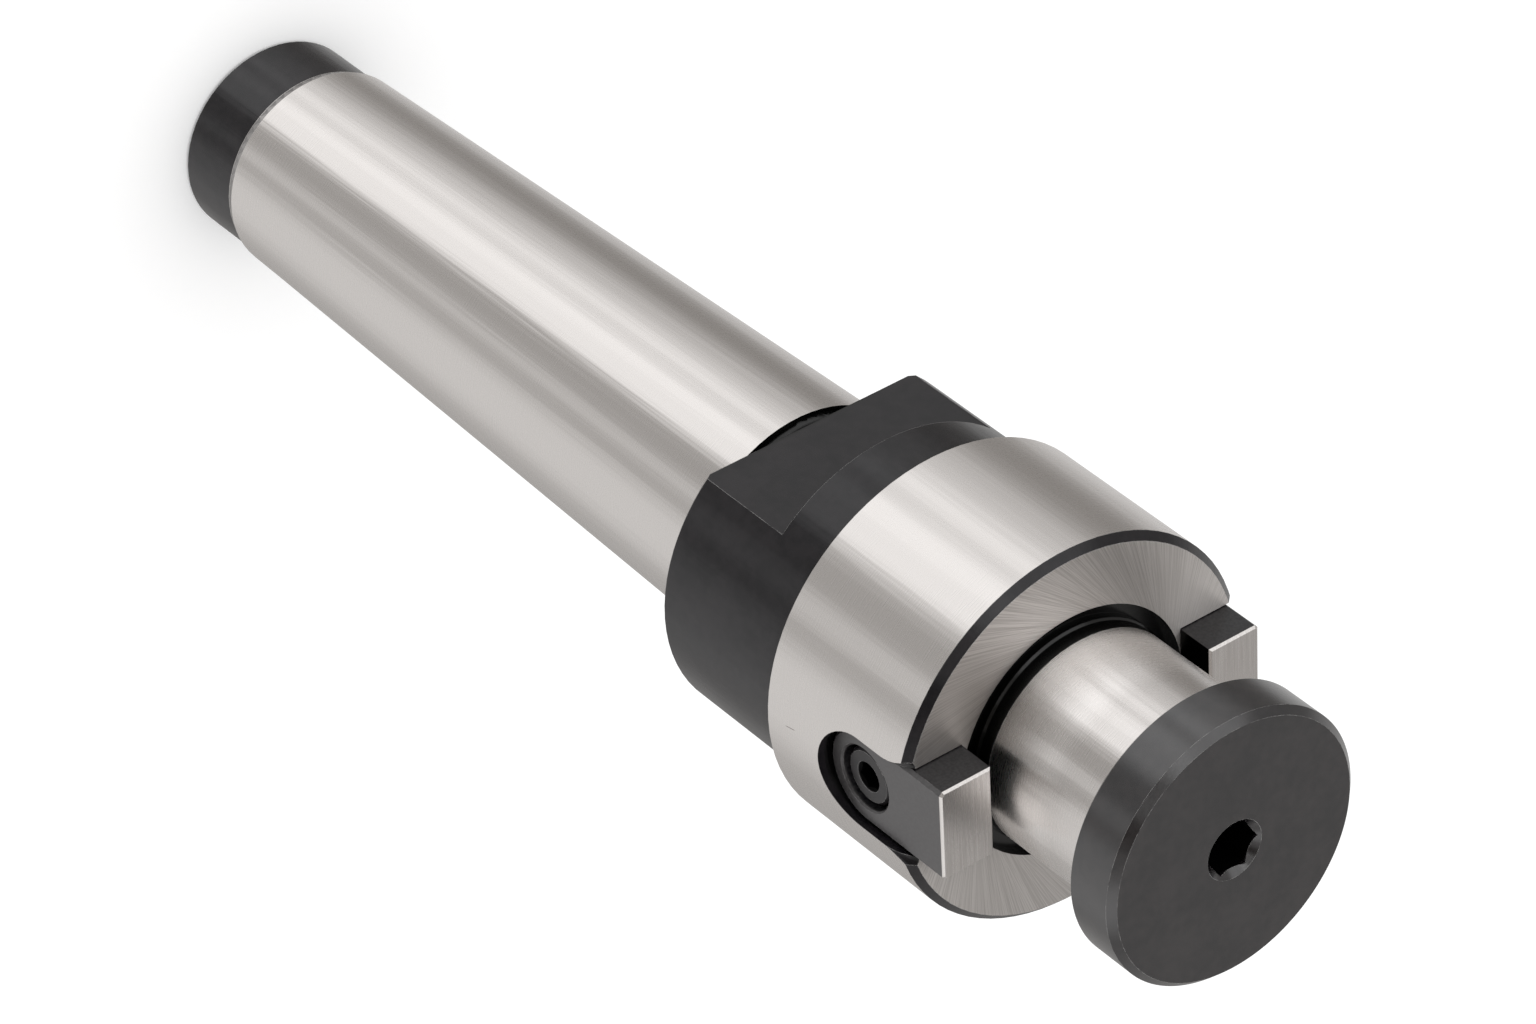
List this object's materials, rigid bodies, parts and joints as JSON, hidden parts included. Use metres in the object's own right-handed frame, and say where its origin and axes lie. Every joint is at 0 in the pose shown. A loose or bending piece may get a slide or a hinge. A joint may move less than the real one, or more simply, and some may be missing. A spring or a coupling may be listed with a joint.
{
  "type": "shell mill arbor",
  "caption": "Shell mill arbor: taper shank with drawbar thread, collar with wrench flats, flange with drive keys, spigot and a large-headed clamping screw.",
  "frame": {"origin": "on the axis, in the small end face that the arbor stands on", "axes": "+Z along the axis from the small end to the clamping screw, drive keys on X, wrench flats square to Y"},
  "size_m": [0.048, 0.048, 0.1813],
  "materials": {
    "ground_steel": "ground, with the collar, neck and small end blackened",
    "key_steel": "ground dark steel",
    "black_screw": "blackened, satin",
    "black_oxide": "blackened, satin"
  },
  "bodies": {
    "arbor": {"arbor_body": "ground_steel", "drive_key_left": "key_steel", "drive_key_right": "key_steel", "key_screw_left": "black_screw", "key_screw_right": "black_screw"},
    "clamp_screw": {"clamping_screw": "black_oxide"}
  },
  "joints": [
    {"name": "clamp_screw_travel", "type": "slide", "parent": "arbor", "child": "clamp_screw", "axis": [0, 0, 1], "range_m": [0, 0.024]}
  ]
}
